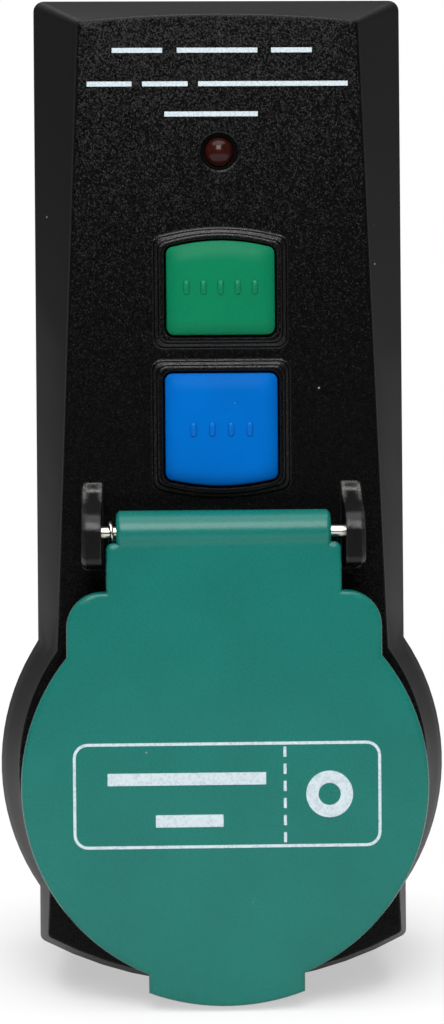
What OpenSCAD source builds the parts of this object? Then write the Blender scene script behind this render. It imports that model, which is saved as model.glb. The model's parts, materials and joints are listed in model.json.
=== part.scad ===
// Residual current adapter plug with a spring flap over its socket.
// X runs to the right, +Y into the wall and +Z up.
// The origin is on the plug's axis, at the face its pins stand on.

/* [Housing] */
// Width of the straight body
body_width = 46.6; // [42:0.1:52]
// Height of the body above the plug's axis
body_top = 96.9; // [92:0.1:110]
// Depth of the body below the plug's axis
body_bottom = 27.5; // [27.4:0.1:32]
// Narrowing of each side at the top of the body
body_taper = 0.3; // [0:0.1:0.6]
// Radius of the round bulge about the socket
bulge_radius = 28; // [27.6:0.1:32]
// Height of the bulge's middle above the plug's axis
bulge_rise = 0.8; // [0:0.1:0.8]
// Radius of the arched bottom edge
bottom_arc_radius = 48; // [40:1:80]
// Radius of the body's upper corners
top_corner = 1.3; // [0.8:0.1:4]
// Radius of the body's lower corners
bottom_corner = 1; // [0.8:0.1:3]
// Depth of the housing from its back to its front panel
housing_depth = 40; // [38:0.5:50]
// Depth of the rear shell
rear_depth = 27; // [25:0.5:28]
// Wall thickness of both shells
wall = 2.4; // [2:0.1:2.8]
// Chamfer round the back edge
back_chamfer = 2; // [1:0.1:3]

/* [Front bevel] */
// Depth of the bevel between the outline and the front panel
bevel_depth = 7.2; // [5:0.1:9]
// Bevel width at the top of the sides
bevel_side_top = 5.9; // [4:0.1:7]
// Bevel width at the bottom of the sides
bevel_side_bottom = 1.2; // [0.8:0.1:3]
// Bevel width along the top edge
bevel_top = 3.5; // [2:0.1:5]
// Bevel width along the bottom edge
bevel_bottom = 2; // [1:0.1:3]
// Bevel width round the bulge
bevel_bulge = 2.5; // [1.5:0.1:3]
// Rise of the panel's arched top edge
panel_arch = 0.8; // [0:0.1:2]
// Height of the panel's edge above the bevel
panel_step = 0.9; // [0.7:0.1:1.2]
// Rounding of the panel's edge
panel_round = 0.5; // [0.2:0.1:0.6]

/* [Socket] */
// Radius of the socket well
well_radius = 19.75; // [19.5:0.05:20]
// Depth of the socket well
well_depth = 17.5; // [17:0.1:18.5]
// Wall of the well insert
insert_wall = 1.6; // [1.2:0.1:1.8]
// Floor of the well insert
insert_floor = 3; // [2.5:0.1:4]
// Height of the collar above the panel
collar_height = 4; // [3:0.1:6]
// Wall of the collar
collar_wall = 1.8; // [1.2:0.1:2]
// Width of the two guide ribs in the well
guide_rib_width = 4.6; // [4:0.1:5]
// Height of the two guide ribs in the well
guide_rib_height = 2; // [1:0.1:2.5]
// Radius of the holes for a plug's pins
pin_hole_radius = 2.75; // [2.6:0.05:3]
// Wall of the rolled contact sleeves
sleeve_wall = 0.8; // [0.6:0.1:1]
// Length of the contact sleeves
sleeve_length = 18; // [16:0.5:18.5]

/* [Plug] */
// Distance between the two pins
pin_spacing = 19; // [19:0.1:19.4]
// Radius of the pins
pin_radius = 2.4; // [2.4:0.05:2.5]
// Length of the pins
pin_length = 19; // [18:0.5:20]
// Radius of the round plug body
nose_radius = 18.5; // [18.2:0.1:19]
// Length of the round plug body
nose_length = 17; // [16:0.5:18]
// Wall round the hollow plug body
nose_wall = 3.4; // [3.2:0.1:3.6]
// Thickness of the plug body's face
nose_face = 4; // [3:0.1:5]
// Width of the earth strips
earth_width = 5.6; // [4:0.1:6]
// Thickness of the earth strips
earth_thickness = 0.8; // [0.6:0.1:1]

/* [Flap] */
// Radius of the flap's disc
flap_radius = 24.8; // [24:0.1:27]
// Drop of the disc's middle below the plug's axis
flap_drop = 0.3; // [0:0.1:0.5]
// Thickness of the flap
flap_thickness = 2.2; // [1.8:0.1:3]
// Rounded edge of the flap
flap_edge = 0.6; // [0.3:0.1:0.8]
// Width of the flap's shoulders
shoulder_width = 38.3; // [36:0.1:42]
// Drop from the hinge axis to the shoulders
shoulder_drop = 7.1; // [6.9:0.1:9]
// Corner radius of the shoulders
shoulder_corner = 4.3; // [3:0.1:5]
// Width of the flap's neck
neck_width = 28.6; // [27:0.1:28.8]
// Drop from the hinge axis to the neck's wider part
neck_drop = 1.2; // [0.8:0.1:2]
// Corner radius of the neck
neck_corner = 0.9; // [0.9:0.1:1.2]
// Width of the lift tab
tab_width = 19; // [12:0.1:24]
// Reach of the lift tab past the disc
tab_reach = 2.1; // [1:0.1:3]
// Height of the seal that stands proud of the flap
seal_proud = 0.8; // [0.5:0.1:1.2]
// Depth of the seal's groove in the flap
seal_groove = 0.6; // [0.4:0.1:0.8]

/* [Hinge] */
// Height of the hinge above the plug's axis
hinge_height = 30.5; // [30:0.1:33]
// Depth of the hinge axis behind the flap's inner face
hinge_setback = 0.2; // [0:0.1:0.5]
// Radius of the flap's barrel
barrel_radius = 2.7; // [2.5:0.1:3]
// Length of the flap's barrel
barrel_length = 26; // [22:0.1:26.4]
// Rounding of the barrel's ends
barrel_round = 0.4; // [0.2:0.1:0.6]
// Radius of the hinge pin
hinge_pin_radius = 0.8; // [0.7:0.05:0.9]
// Distance between the ears
ear_span = 29.6; // [29.4:0.1:32]
// Thickness of the ears
ear_thickness = 2.4; // [1.8:0.1:3]
// Rounding of the ears' outer edges
ear_edge = 0.4; // [0.2:0.1:0.6]
// Radius of the ears' bosses
ear_radius = 2.9; // [2.6:0.1:3.2]
// Reach of the ears' feet above the hinge axis
ear_foot_up = 5.9; // [4.5:0.1:6.5]
// Reach of the ears' feet below the hinge axis
ear_foot_down = 4.8; // [3.5:0.1:5]
// Height of the ears' tips above the panel
ear_tip = 0.9; // [0.8:0.1:1.5]

/* [Buttons] */
// Width of the reset button
reset_width = 13.3; // [11:0.1:14]
// Height of the reset button
reset_height = 11.5; // [10:0.1:12]
// Height of the reset button's middle above the plug's axis
reset_z = 60.4; // [60:0.1:62]
// Width of the test button
test_width = 13.8; // [11:0.1:14.4]
// Height of the test button
test_height = 13.8; // [12:0.1:14.4]
// Height of the test button's middle above the plug's axis
test_z = 43; // [42.4:0.1:43.2]
// Arch of the reset button's top and the test button's bottom edge
button_arch = 0.7; // [0.2:0.1:1]
// Corner radius of the buttons
button_corner = 0.9; // [0.8:0.1:2]
// Height of the buttons above the panel
button_proud = 1.9; // [1.4:0.1:3]
// Rounding of the buttons' front edges
button_edge = 0.6; // [0.3:0.1:0.7]
// Travel of the reset button
reset_travel = 2.5; // [1.5:0.1:2.5]
// Travel of the test button
test_travel = 1.5; // [1:0.1:2]
// Radius of the buttons' stems
stem_radius = 2.5; // [2:0.1:2.6]
// Width of the flange that keeps a button in
flange_margin = 0.9; // [0.6:0.1:1]
// Thickness of that flange
flange_thickness = 1.2; // [0.8:0.1:1.4]
// Width of the raised frame round a button
frame_margin = 1.65; // [1.4:0.05:1.7]
// Arch of the frame's edge beside the button's arched edge
frame_arch = 0.9; // [0.7:0.1:1]
// Corner radius of the frame
frame_corner = 1.2; // [0.8:0.1:2]
// Height of the raised frame's outer step
frame_step = 0.4; // [0.3:0.1:0.8]
// Height of the raised frame's inner ridge above that step
frame_ridge = 0.4; // [0.3:0.1:0.8]
// Thickness of the plate that guides the stems
guide_thickness = 1.4; // [1:0.1:1.6]

/* [Lamp] */
// Height of the lamp above the plug's axis
lamp_z = 77.2; // [77.2:0.1:79]
// Radius of the lamp's dome
lamp_radius = 1.82; // [1.5:0.02:2]
// Chamfer of the lamp's hole
lamp_chamfer = 0.55; // [0.3:0.05:0.8]
// Radius of the tube that carries the lamp
spacer_radius = 2.6; // [2.4:0.1:2.8]

/* [Springs] */
// Wire radius of the flap's springs
flap_wire = 0.25; // [0.18:0.01:0.25]
// Middle radius of the flap's springs
flap_coil = 1.2; // [1.15:0.01:1.25]
// Turns of each flap spring
flap_turns = 4; // [3:1:5]
// Rise of one turn of a flap spring
flap_pitch = 0.95; // [0.92:0.01:1]
// Wire radius of the button and carrier springs
press_wire = 0.22; // [0.18:0.01:0.25]
// Turns of each button spring
press_turns = 3; // [2:1:4]
// Middle radius of the button springs
press_coil = 3.3; // [3:0.1:3.5]
// Room for a button spring at rest
press_room = 4; // [3.9:0.1:5]
// Turns of each carrier spring
carrier_turns = 8; // [6:1:10]

/* [Mechanism] */
// Thickness of the circuit board
board_thickness = 1.6; // [1:0.1:2]
// Height of the board above the inside of the back
board_standoff = 4; // [3.4:0.1:5]
// Thickness of the contact carrier
carrier_thickness = 4; // [3:0.1:4.5]
// Thickness of the armature
armature_thickness = 1.2; // [0.8:0.1:1.6]
// Radius of the coil's core
core_radius = 2; // [1.5:0.1:2.4]
// Radius of the coil's winding
winding_radius = 4.8; // [4:0.1:5]
// Radius of the carrier's guide pins
guide_pin_radius = 1; // [0.8:0.1:1.1]
// Distance of the switching contacts from the middle
contact_x = 9.8; // [9.6:0.1:10]
// Half the distance between a feed contact and its load contact
contact_z = 6.5; // [6:0.1:7]
// Radius of the contact posts
post_radius = 1.5; // [1.2:0.1:1.6]
// Thickness of the current bars
bar_thickness = 0.8; // [0.6:0.1:1]
// Width of the feed bars
bar_width = 5; // [4.4:0.1:5]
// Outer radius of the sensing core
sensing_radius = 9; // [8.5:0.1:9.5]
// Bore radius of the sensing core
sensing_bore = 5; // [4.8:0.1:5.4]
// Height of the sensing core
sensing_height = 7; // [5:0.1:7]

/* [Fasteners] */
// Radius of the housing screws
screw_radius = 1.3; // [1:0.1:1.5]
// Radius of the housing screws' heads
screw_head = 2.7; // [2.2:0.1:2.8]
// Radius of the board screws
board_screw = 0.9; // [0.7:0.1:1]

/* [Fits] */
// Gap round a shaft that turns or slides
running_gap = 0.05; // [0.02:0.01:0.09]
// Gap round a piece that is seated in another
seat_gap = 0.02; // [0.01:0.01:0.05]
// Gap round a button in its opening
slide_gap = 0.3; // [0.2:0.05:0.4]
// Gap left between pieces that meet at the end of a travel
stop_gap = 0.1; // [0.05:0.01:0.2]

/* [Hidden] */
$fn = 64;

// Overshoot of a cut past the face it opens, and depth by which joined forms run into each other
over = 1;
root = 0.5;

// Planes from the wall to the front
rear_y = -nose_length;
panel_y = rear_y - housing_depth;
edge_y = panel_y + bevel_depth;
split_y = rear_y - rear_depth;
inner_front_y = panel_y + wall;
inner_rear_y = rear_y - wall;
collar_y = panel_y - collar_height;
flap_inner_y = collar_y - seal_proud;
flap_outer_y = flap_inner_y - flap_thickness;
axis_y = flap_inner_y + hinge_setback;
floor_y = collar_y + well_depth;
floor_back_y = floor_y + insert_floor;
board_back_y = inner_rear_y - board_standoff;
board_front_y = board_back_y - board_thickness;
flange_front_y = inner_front_y + stop_gap;
flange_back_y = flange_front_y + flange_thickness;
guide_front_y = flange_back_y + press_room;
guide_back_y = guide_front_y + guide_thickness;
stem_reach = 0.8;
stem_end_y = guide_back_y + stem_reach;
carrier_front_y = stem_end_y + stop_gap;
carrier_back_y = carrier_front_y + carrier_thickness;
bridge_thickness = 0.6;
bridge_back_y = carrier_back_y + bridge_thickness;
armature_back_y = carrier_back_y + armature_thickness;
pole_y = armature_back_y + reset_travel + stop_gap;
post_top_y = bridge_back_y + reset_travel + stop_gap;
feed_bar_y = (inner_rear_y + board_back_y) / 2;
load_bar_y = (board_front_y + post_top_y) / 2;
nose_inner = nose_radius - nose_wall;
screw_blind = 1;
screw_tip_y = edge_y + screw_blind;

// Outlines seen from the front
half_width = body_width / 2;
insert_radius = well_radius + insert_wall;
collar_bore = insert_radius + running_gap;
collar_radius = collar_bore + collar_wall;
insert_flange_inset = 0.6;
insert_flange = collar_radius - insert_flange_inset;
panel_bulge = bulge_radius - bevel_bulge;
bulge_place = [0, bulge_rise];
panel_corner = 0.7;
least_corner = 0.3;
arc_steps = 12;
corner_steps = 5;
edge_steps = 4;
side_steps = 14;

// Places of the housing screws
screw_edge = 0.9;
screw_high = 6;
screw_low = 8.4;
screw_x = half_width - back_chamfer - screw_head - screw_edge;
screw_places = [for (side = [-1, 1]) for (z = [body_top - screw_high, screw_low - body_bottom])
    [side * screw_x, z]];

// Edges of the circuit board and places of its screws
board_side_gap = 5;
board_foot = 5;
board_top_gap = 11;
board_half = half_width - board_side_gap;
board_low = test_z - board_foot;
board_high = body_top - board_top_gap;
board_hole_x = board_half - 2.4;
board_hole_low = board_low + 4.5;
board_hole_high = board_high - 3.5;
board_places = [for (side = [-1, 1]) for (z = [board_hole_low, board_hole_high]) [side * board_hole_x, z]];

// Edges of the plate that guides the buttons and places of the posts that hold it
guide_half = 15;
guide_reach_low = 9;
guide_reach_high = 9.4;
guide_low = test_z - guide_reach_low;
guide_high = reset_z + guide_reach_high;
guide_inset = 2.4;
guide_hole_x = guide_half - guide_inset;
guide_places = [for (side = [-1, 1]) for (z = [guide_low + guide_inset, guide_high - guide_inset])
    [side * guide_hole_x, z]];
guide_post = 2;
stake_radius = 1;
stake_head = 0.4;
guide_pin_offset = 11;
carrier_pins = [for (side = [-1, 1]) [0, reset_z + side * guide_pin_offset]];

// Shelf below the sensing core
shelf_drop = 3;
shelf_top = hinge_height - shelf_drop;
shelf_thickness = 1.6;
shelf_half = 5.8;
window_width = 9.2;
window_reach = 4;

// Rings in one turn of a wire, and sides of the wire
turn_steps = 8;
wire_sides = 6;

function unit(v) = v / norm(v);

function arc(cx, cz, r, from, to, steps, skip = 0) =
    [for (i = [skip:steps]) let (a = from + (to - from) * i / steps) [cx + r * cos(a), cz + r * sin(a)]];

// A column seen from the front: straight sides, arched bottom, round corners and a slightly arched top
function column(half_top, half_low, top, bottom, arc_r, corner_top, corner_low, rise) =
    let (
        swing = asin((half_low - corner_low) / (arc_r - corner_low)),
        low_z = bottom + arc_r - (arc_r - corner_low) * cos(swing),
        flat = half_top - corner_top,
        low_end = [half_low, low_z],
        high_end = [half_top, top - corner_top],
        side = [for (i = [1:side_steps - 1]) low_end + (high_end - low_end) * i / side_steps]
    )
    concat(
        arc(0, bottom + arc_r, arc_r, 270 - swing, 270 + swing, arc_steps),
        arc(half_low - corner_low, low_z, corner_low, 270 + swing, 360, corner_steps, 1),
        side,
        arc(flat, top - corner_top, corner_top, 0, 90, corner_steps),
        [for (i = [1:arc_steps - 1]) let (x = flat * (1 - 2 * i / arc_steps))
            [x, top + rise * (1 - pow(x / flat, 2))]],
        arc(-flat, top - corner_top, corner_top, 90, 180, corner_steps),
        [for (i = [1:side_steps - 1]) let (p = side[side_steps - 1 - i]) [-p[0], p[1]]],
        [for (i = [0:corner_steps - 1]) let (a = 180 + (90 - swing) * i / corner_steps)
            [-half_low + corner_low + corner_low * cos(a), low_z + corner_low * sin(a)]]
    );

function body_outline(inset) =
    let (
        half = half_width - inset,
        high = max(top_corner - inset, least_corner),
        low = max(bottom_corner - inset, least_corner)
    )
    column(half - body_taper, half, body_top - inset, inset - body_bottom, bottom_arc_radius - inset,
        high, low, 0);

function panel_outline(inset) =
    let (
        half_top = half_width - bevel_side_top - inset,
        half_low = half_width - bevel_side_bottom - inset,
        low = bevel_bottom + inset
    )
    column(half_top, half_low, body_top - bevel_top - inset, low - body_bottom, bottom_arc_radius - low,
        panel_corner, panel_corner, panel_arch);

// A button or frame seen from the front: round corners and one arched edge
// Direction 1 puts the arch at the top, and -1 at the bottom
function arched_box(w, h, corner, rise, direction) =
    let (
        flat = w / 2 - corner,
        half = h / 2,
        upright = concat(
            arc(-flat, corner - half, corner, 180, 270, corner_steps),
            arc(flat, corner - half, corner, 270, 360, corner_steps),
            arc(flat, half - rise - corner, corner, 0, 90, corner_steps),
            [for (i = [1:arc_steps - 1]) let (x = flat * (1 - 2 * i / arc_steps))
                [x, half - rise * pow(x / flat, 2)]],
            arc(-flat, half - rise - corner, corner, 90, 180, corner_steps)
        ),
        last = len(upright) - 1
    )
    [for (i = [0:last]) let (p = upright[direction > 0 ? i : last - i]) [p[0], p[1] * direction]];

function button_outline(w, h, grow, direction) =
    arched_box(w + grow * 2, h + grow * 2, max(button_corner + grow, least_corner), button_arch, direction);

function frame_outline(w, h, grow, direction) =
    arched_box(w + grow * 2, h + grow * 2, frame_corner, frame_arch, direction);

// A bent strip's side view: a path in the YZ plane given a thickness, with mitred corners
function ribbon(path, t) =
    let (
        last = len(path) - 1,
        dirs = [for (i = [0:last - 1]) unit(path[i + 1] - path[i])],
        sides = [for (d = dirs) [-d[1], d[0]]],
        mitres = [for (i = [0:last]) let (a = sides[max(i - 1, 0)], b = sides[min(i, last - 1)])
            (a + b) / (1 + a * b)]
    )
    concat(
        [for (i = [0:last]) path[i] + mitres[i] * t / 2],
        [for (i = [0:last]) path[last - i] - mitres[last - i] * t / 2]
    );

// Helix about the X axis, and helix about the Y axis
function turns_x(r, turns, pitch) = [for (i = [0:turns * turn_steps]) let (share = i / turn_steps)
    [pitch * share, r * cos(360 * share), r * sin(360 * share)]];

function turns_y(r, turns, pitch) = [for (i = [0:turns * turn_steps]) let (share = i / turn_steps)
    [r * cos(360 * share), pitch * share, r * sin(360 * share)]];

function tangents(path) = [for (i = [0:len(path) - 1])
    unit(path[min(i + 1, len(path) - 1)] - path[max(i - 1, 0)])];

function carried(dirs, v, i = 0) = i == len(dirs) ? [] :
    let (n = unit(v - (v * dirs[i]) * dirs[i])) concat([n], carried(dirs, n, i + 1));

// Least clear distance between parts of one wire that are more than half a turn apart
function least_gap(path, r) =
    let (apart = turn_steps / 2 + 1, last = len(path) - 1)
    min([for (i = [0:last - apart]) for (j = [i + apart:last]) norm(path[i] - path[j])]) - 2 * r;

module wire(path, r) {
    dirs = tangents(path);
    across = carried(dirs, abs(dirs[0][1]) > 0.7 ? [0, 0, 1] : [0, 1, 0]);
    rings = [for (i = [0:len(path) - 1]) for (k = [0:wire_sides - 1]) let (turn = 360 * k / wire_sides)
        path[i] + r * (cos(turn) * across[i] + sin(turn) * cross(dirs[i], across[i]))];
    last = (len(path) - 1) * wire_sides;
    walls = [for (i = [0:len(path) - 2]) for (k = [0:wire_sides - 1])
        let (a = i * wire_sides + k, b = i * wire_sides + (k + 1) % wire_sides)
        each [[a, a + wire_sides, b], [b, a + wire_sides, b + wire_sides]]];
    caps = [for (k = [1:wire_sides - 2]) each [[0, k, k + 1], [last, last + k + 1, last + k]]];
    polyhedron(points = rings, faces = concat(walls, caps));
}

// Extrusion from y0 to y1 of an outline drawn in X and Z
module along_y(y0, y1) {
    translate([0, y1, 0]) rotate([90, 0, 0]) linear_extrude(y1 - y0) children();
}

// Extrusion from x0 to x1 of an outline drawn in Y and Z
module along_x(x0, x1) {
    translate([x0, 0, 0]) rotate([90, 0, 90]) linear_extrude(x1 - x0) children();
}

module rod_y(r, y0, y1, place = [0, 0]) {
    translate([place[0], y1, place[1]]) rotate([90, 0, 0]) cylinder(r = r, h = y1 - y0);
}

module cone_y(r0, r1, y0, y1, place = [0, 0]) {
    translate([place[0], y1, place[1]]) rotate([90, 0, 0]) cylinder(r1 = r1, r2 = r0, h = y1 - y0);
}

module rod_x(r, x0, x1, y, z) {
    translate([x0, y, z]) rotate([0, 90, 0]) cylinder(r = r, h = x1 - x0);
}

// Box from y0 to y1 about a middle in X and Z
module block(x, z, w, h, y0, y1) {
    translate([x - w / 2, y0, z - h / 2]) cube([w, y1 - y0, h]);
}

// Solid through outlines of equal counts, each given as [y, points], from front to back
module loft(stations) {
    count = len(stations[0][1]);
    last = (len(stations) - 1) * count;
    rings = [for (s = stations) for (p = s[1]) [p[0], s[0], p[1]]];
    walls = [for (i = [0:len(stations) - 2]) for (k = [0:count - 1])
        let (a = i * count + k, b = i * count + (k + 1) % count)
        each [[a, b, a + count], [b, b + count, a + count]]];
    front = [for (k = [0:count - 1]) count - 1 - k];
    back = [for (k = [0:count - 1]) last + k];
    polyhedron(points = rings, faces = concat([front, back], walls));
}

// Outer form of the front shell: a panel with a rounded edge that stands above the bevel, and straight sides
module front_outside() {
    rim = panel_round * 0.3;
    rim_y = panel_y + rim;
    side_y = panel_y + panel_round;
    bevel_y = panel_y + panel_step;
    loft([
        [panel_y, panel_outline(panel_round)],
        [rim_y, panel_outline(rim)],
        [side_y, panel_outline(0)],
        [bevel_y, panel_outline(0)],
        [edge_y, body_outline(0)],
        [split_y, body_outline(0)]
    ]);
    cone_y(panel_bulge - panel_round, panel_bulge - rim, panel_y, rim_y, bulge_place);
    cone_y(panel_bulge - rim, panel_bulge, rim_y, side_y, bulge_place);
    rod_y(panel_bulge, side_y, bevel_y, bulge_place);
    cone_y(panel_bulge, bulge_radius, bevel_y, edge_y, bulge_place);
    rod_y(bulge_radius, edge_y, split_y, bulge_place);
}

// Hollow of the front shell
module front_inside() {
    open_y = split_y + over;
    loft([[inner_front_y, panel_outline(wall)], [edge_y, body_outline(wall)], [open_y, body_outline(wall)]]);
    cone_y(panel_bulge - wall, bulge_radius - wall, inner_front_y, edge_y, bulge_place);
    rod_y(bulge_radius - wall, edge_y, open_y, bulge_place);
}

// Raised frame round a button: an outer step and an inner ridge, both with sloping sides
module button_frame(w, h, z, direction) {
    slope = 0.3;
    ledge = 0.5;
    inner = frame_margin - ledge;
    root_y = panel_y + wall / 2;
    step_y = panel_y - frame_step;
    translate([0, 0, z]) loft([
        [step_y, frame_outline(w, h, frame_margin - slope, direction)],
        [panel_y, frame_outline(w, h, frame_margin, direction)],
        [root_y, frame_outline(w, h, frame_margin, direction)]
    ]);
    translate([0, 0, z]) loft([
        [step_y - frame_ridge, frame_outline(w, h, inner - slope, direction)],
        [step_y, frame_outline(w, h, inner, direction)],
        [root_y, frame_outline(w, h, inner, direction)]
    ]);
}

module button_opening(w, h, z, direction) {
    front_y = panel_y - frame_step - frame_ridge - over;
    translate([0, 0, z]) along_y(front_y, inner_front_y + over)
        polygon(button_outline(w, h, slide_gap, direction));
}

ear_low = hinge_height - ear_foot_down;
ear_round = 0.9;
ear_steps = 2;
ear_root_y = panel_y + wall / 2;

// Side view of a hinge ear: a slope from its tip on the panel to a round boss, with a heel below
module ear_profile(inset) {
    radius = ear_radius - inset;
    tip_y = panel_y - ear_tip + inset;
    tip_z = hinge_height + ear_foot_up - inset;
    slope_z = tip_z - ear_round;
    reach = norm([tip_y - axis_y, slope_z - hinge_height]);
    meet = atan2(slope_z - hinge_height, tip_y - axis_y) + acos(radius / reach);
    low = ear_low + inset;
    translate([axis_y, hinge_height]) circle(r = radius);
    polygon(concat(
        [[ear_root_y, low], [ear_root_y, tip_z]],
        arc(tip_y + ear_round, slope_z, ear_round, 90, 180, corner_steps),
        [[axis_y + radius * cos(meet), hinge_height + radius * sin(meet)]],
        [[axis_y, hinge_height], [axis_y - radius, hinge_height]],
        arc(axis_y - radius + ear_round, low + ear_round * 2, ear_round, 180, 250, corner_steps)
    ));
}

// Two ears that hold the hinge pin, each with its outer edge rounded in steps
module ears() {
    inner = ear_span / 2;
    outer = inner + ear_thickness;
    for (side = [0, 1]) mirror([side, 0, 0]) {
        along_x(inner, outer - ear_edge) ear_profile(0);
        for (step = [1:ear_steps]) let (a = 90 * step / ear_steps)
            along_x(inner + ear_thickness / 2, outer - ear_edge * (1 - sin(a)))
                ear_profile(ear_edge * (1 - cos(a)));
    }
}

screw_boss = screw_head + 0.7;
tip_gap = 0.4;

module front_housing() {
    lamp_hole = lamp_radius + running_gap;
    color("#242426") difference() {
        union() {
            difference() {
                front_outside();
                front_inside();
            }
            rod_y(collar_radius, collar_y, inner_front_y);
            ears();
            button_frame(reset_width, reset_height, reset_z, 1);
            button_frame(test_width, test_height, test_z, -1);
            for (p = screw_places) rod_y(screw_boss, edge_y, split_y, p);
            for (p = guide_places) rod_y(guide_post, inner_front_y - root, guide_front_y, p);
            for (p = guide_places) rod_y(stake_radius, guide_front_y - root, guide_back_y + stake_head, p);
        }
        rod_y(collar_bore, collar_y - over, inner_front_y + over);
        button_opening(reset_width, reset_height, reset_z, 1);
        button_opening(test_width, test_height, test_z, -1);
        rod_y(lamp_hole, panel_y - over, inner_front_y + over, [0, lamp_z]);
        cone_y(lamp_hole + lamp_chamfer, lamp_hole, panel_y, panel_y + lamp_chamfer, [0, lamp_z]);
        rod_x(hinge_pin_radius + seat_gap, -half_width, half_width, axis_y, hinge_height);
        for (p = screw_places) rod_y(screw_radius + seat_gap, screw_tip_y - tip_gap, split_y + over, p);
    }
}

module rear_form(inset, back_y, front_y) {
    turn_y = back_y - back_chamfer;
    outer = body_outline(inset);
    loft([[front_y, outer], [turn_y, outer], [back_y, body_outline(inset + back_chamfer)]]);
    rod_y(bulge_radius - inset, front_y, turn_y, bulge_place);
    cone_y(bulge_radius - inset, bulge_radius - inset - back_chamfer, turn_y, back_y, bulge_place);
}

seal_width = 0.8;
seal_depth = 0.9;
seal_inset = (wall - seal_width) / 2;

module seal_loop(inset) {
    polygon(body_outline(inset));
    translate(bulge_place) circle(r = bulge_radius - inset);
}

module seal_ring(gap, depth) {
    along_y(split_y, split_y + depth) difference() {
        seal_loop(seal_inset - gap);
        seal_loop(seal_inset + seal_width + gap);
    }
}

module housing_seal() {
    color("#4a4a4a") seal_ring(0, seal_depth);
}

nose_chamfer = 1;
pin_neck = pin_radius - 0.2;
earth_sink = 0.8;
earth_rest = nose_radius - earth_sink;
earth_slot_width = earth_width + 0.8;
earth_slot_depth = earth_sink + 1.2;
groove_width = guide_rib_width + 1.2;
groove_depth = guide_rib_height + 0.6;
screw_clear = 0.3;
screw_tube = screw_head + 1.1;
tube_inset = 0.6;
head_depth = 7;
head_height = 1.8;
board_post = board_screw + 1.3;

module rear_housing() {
    shelf_z = shelf_top - shelf_thickness / 2;
    color("#202022") difference() {
        union() {
            difference() {
                rear_form(0, rear_y, split_y);
                rear_form(wall, inner_rear_y, split_y - over);
            }
            rod_y(nose_radius, rear_y - root, -nose_chamfer);
            cone_y(nose_radius, nose_radius - nose_chamfer, -nose_chamfer, 0);
            for (p = screw_places) intersection() {
                rod_y(screw_tube, split_y, rear_y - root, p);
                along_y(split_y, rear_y) polygon(body_outline(tube_inset));
            }
            for (p = board_places) rod_y(board_post, board_back_y, inner_rear_y + root, p);
            block(0, shelf_z, shelf_half * 2, shelf_thickness,
                load_bar_y - sensing_radius, inner_rear_y + root);
        }
        rod_y(nose_inner, inner_rear_y - over, -nose_face);
        for (side = [-1, 1]) {
            rod_y(pin_neck + seat_gap, -nose_face - over, over, [side * pin_spacing / 2, 0]);
            block(side * nose_radius, 0, groove_depth * 2, groove_width, rear_y, over);
            block(0, side * nose_radius, earth_slot_width, earth_slot_depth * 2, inner_rear_y - over, over);
        }
        for (p = screw_places) {
            rod_y(screw_radius + screw_clear, split_y - over, rear_y, p);
            rod_y(screw_head + screw_clear, rear_y - head_depth, rear_y + over, p);
        }
        for (p = board_places) rod_y(board_screw + seat_gap, board_back_y - over, inner_rear_y, p);
        block(0, shelf_z, window_width, shelf_thickness + over,
            load_bar_y - window_reach, load_bar_y + window_reach);
        seal_ring(seat_gap, seal_depth + seat_gap);
    }
}

module housing_screws() {
    head_y = rear_y - head_depth;
    slot_length = screw_head * 1.2;
    slot_width = 0.7;
    slot_depth = 1;
    color("#b8b8b4") for (p = screw_places) difference() {
        union() {
            rod_y(screw_head, head_y, head_y + head_height, p);
            rod_y(screw_radius, screw_tip_y, head_y, p);
        }
        for (turn = [0, 90]) translate([p[0], 0, p[1]]) rotate([0, turn, 0])
            block(0, 0, slot_length, slot_width, head_y + head_height - slot_depth, rear_y);
    }
}

contact_places = [for (side = [-1, 1]) [side * pin_spacing / 2, 0]];
chamber_radius = pin_hole_radius + sleeve_wall + 1.4;
sleeve_bore = pin_radius + running_gap;
sleeve_radius = sleeve_bore + sleeve_wall;
sleeve_front_y = floor_back_y;
sleeve_back_y = sleeve_front_y + sleeve_length;
sleeve_slit = 0.6;
chamber_depth = 7;
insert_flange_depth = 1.5;
rib_start = 2;
clip_inset = 2.2;
clip_z = well_radius - clip_inset;
clip_slot = [earth_width + 0.4, earth_thickness * 2 + 0.6];

// Cup of the socket: a round well with two guide ribs, and two chambers behind its floor for the contacts
module socket_insert() {
    color("#1c1c1e") difference() {
        union() {
            difference() {
                union() {
                    rod_y(insert_radius, collar_y, floor_back_y);
                    rod_y(insert_flange, inner_front_y, inner_front_y + insert_flange_depth);
                }
                rod_y(well_radius, collar_y - over, floor_y);
            }
            for (p = contact_places)
                rod_y(chamber_radius, floor_back_y - root, floor_back_y + chamber_depth, p);
            for (side = [-1, 1]) intersection() {
                block(side * well_radius, 0, guide_rib_height * 2, guide_rib_width,
                    collar_y + rib_start, floor_y + root);
                rod_y(insert_radius, collar_y, floor_back_y);
            }
        }
        for (p = contact_places) {
            rod_y(pin_hole_radius, floor_y - over, floor_back_y + root, p);
            rod_y(sleeve_radius + seat_gap, floor_back_y, floor_back_y + chamber_depth + over, p);
        }
        for (side = [-1, 1])
            block(0, side * clip_z, clip_slot[0], clip_slot[1], floor_y - over, floor_back_y + over);
    }
}

module socket_contact(side) {
    place = [side * pin_spacing / 2, 0];
    color("#c8a24a") difference() {
        rod_y(sleeve_radius, sleeve_front_y, sleeve_back_y, place);
        rod_y(sleeve_bore, sleeve_front_y - over, sleeve_back_y + over, place);
        block(place[0], -sleeve_radius, sleeve_slit, sleeve_radius,
            sleeve_front_y - over, sleeve_back_y + over);
    }
}

module socket_contact_live() { socket_contact(-1); }

module socket_contact_neutral() { socket_contact(1); }

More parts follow.
